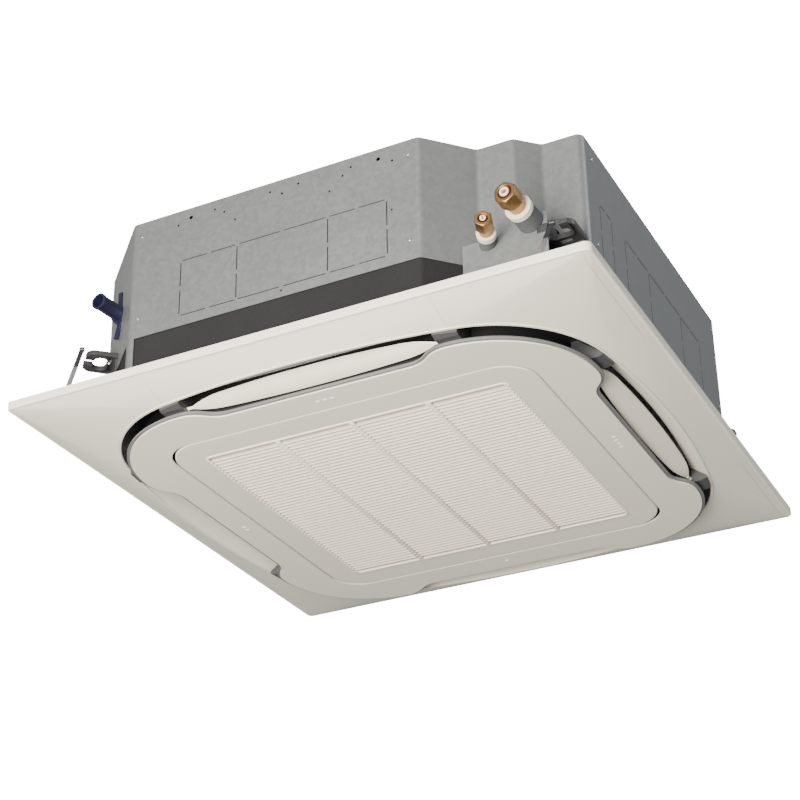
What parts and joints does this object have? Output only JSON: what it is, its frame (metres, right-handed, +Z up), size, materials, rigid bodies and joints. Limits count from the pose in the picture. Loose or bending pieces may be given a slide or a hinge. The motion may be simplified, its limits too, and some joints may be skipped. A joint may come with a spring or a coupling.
{
  "type": "ceiling cassette air conditioner",
  "caption": "Square ceiling cassette air conditioner with a sloped panel, swinging outlet flaps, a hinged intake grille, a turbo fan and a ring-shaped heat exchanger in a sheet steel housing.",
  "frame": {"origin": "centre of the panel in the ceiling plane, the panel rim's upper face", "axes": "+Z up into the ceiling void, -Y towards the side with the refrigerant pipes and the grille hinge, +X to the right of it"},
  "size_m": [0.95, 0.95, 0.3486],
  "materials": {
    "panel_white": "moulded, satin, warm white",
    "inner_white": "moulded, satin, warm white",
    "grille_white": "moulded, satin, warm white",
    "louvre_beige": "moulded, satin, slightly pink beige",
    "flap_ivory": "moulded, half gloss",
    "mark_white": "raised, satin",
    "band_grey": "moulded, satin",
    "duct_black": "moulded, dull",
    "bridge_grey": "moulded, dull",
    "bush_white": "moulded",
    "steel": "zinc plated",
    "seal_foam": "soft foam strip",
    "filter_grey": "moulded",
    "galvanised": "hot-dip galvanised sheet, faint spangle",
    "foam_charcoal": "closed-cell foam",
    "pan_foam": "moulded bead foam",
    "fin_aluminium": "packed fins, faint fin lines",
    "copper": "drawn copper tube",
    "brass_nut": "turned brass",
    "fan_plastic": "moulded",
    "bell_plastic": "moulded",
    "mount_rubber": "soft rubber",
    "board_green": "laminate",
    "pump_white": "moulded",
    "socket_blue": "moulded, dark blue",
    "collar_grey": "moulded",
    "sleeve_dark": "closed-cell pipe insulation",
    "collar_cream": "felt-like tape",
    "plug_blue": "moulded",
    "bracket_black": "black paint"
  },
  "bodies": {
    "unit": {"casing": "galvanised", "top_plate": "galvanised", "foam_base": "foam_charcoal", "foam_liner": "foam_charcoal", "drain_pan": "pan_foam", "coil_fins": "fin_aluminium", "coil_end_plates": "galvanised", "coil_bends": "copper", "gas_header": "copper", "liquid_header": "copper", "bell_mouth": "bell_plastic", "fan_motor": "galvanised", "motor_mounts": "mount_rubber", "control_box": "galvanised", "control_cover": "galvanised", "circuit_board": "board_green", "drain_pump": "pump_white", "drain_hose": "sleeve_dark", "drain_socket": "socket_blue", "drain_collar": "collar_grey", "float_switch": "pump_white", "gas_pipe": "copper", "liquid_pipe": "copper", "gas_sleeve": "sleeve_dark", "liquid_sleeve": "sleeve_dark", "pipe_collars": "collar_cream", "flare_nuts": "brass_nut", "pipe_plugs": "plug_blue", "pipe_cover": "galvanised", "hanger_brackets": "bracket_black", "panel_straps": "bracket_black", "casing_screws": "steel", "panel_frame": "panel_white", "corner_cover_right_rear": "panel_white", "corner_cover_left_rear": "panel_white", "corner_cover_left_front": "panel_white", "corner_cover_right_front": "panel_white", "outlet_duct": "duct_black", "outlet_bridges": "bridge_grey", "flap_bushes": "bush_white", "flap_motors": "steel", "inner_band": "band_grey", "inner_panel": "inner_white", "outlet_marks": "mark_white", "panel_screws": "steel", "panel_seal": "seal_foam", "hinge_brackets": "inner_white", "grille_catches": "steel"},
    "flap_right": {"outlet_flap_right": "flap_ivory"},
    "flap_rear": {"outlet_flap_rear": "flap_ivory"},
    "flap_left": {"outlet_flap_left": "flap_ivory"},
    "flap_front": {"outlet_flap_front": "flap_ivory"},
    "grille": {"grille_frame": "grille_white", "grille_louvre": "louvre_beige", "grille_hinge_pins": "steel", "filter_frame": "filter_grey", "filter_net": "filter_grey"},
    "fan": {"fan_wheel": "fan_plastic", "drive_shaft": "steel"},
    "float": {"float_body": "pump_white"}
  },
  "joints": [
    {"name": "flap_right_tilt", "type": "hinge", "parent": "unit", "child": "flap_right", "pos_m": [0.377, 0, -0.0325], "axis": [0, -1, 0], "range_deg": [-16, 48]},
    {"name": "flap_rear_tilt", "type": "hinge", "parent": "unit", "child": "flap_rear", "pos_m": [0, 0.377, -0.0325], "axis": [1, 0, 0], "range_deg": [-16, 48]},
    {"name": "flap_left_tilt", "type": "hinge", "parent": "unit", "child": "flap_left", "pos_m": [-0.377, 0, -0.0325], "axis": [0, 1, 0], "range_deg": [-16, 48]},
    {"name": "flap_front_tilt", "type": "hinge", "parent": "unit", "child": "flap_front", "pos_m": [0, -0.377, -0.0325], "axis": [-1, 0, 0], "range_deg": [-16, 48]},
    {"name": "grille_hinge", "type": "hinge", "parent": "unit", "child": "grille", "pos_m": [0, -0.29, -0.043], "axis": [-1, 0, 0], "range_deg": [0, 45]},
    {"name": "fan_spin", "type": "hinge", "parent": "unit", "child": "fan", "pos_m": [0, 0, 0.2], "axis": [0, 0, 1], "continuous": true},
    {"name": "float_lift", "type": "slide", "parent": "unit", "child": "float", "axis": [0, 0, 1], "range_m": [0, 0.01]}
  ]
}
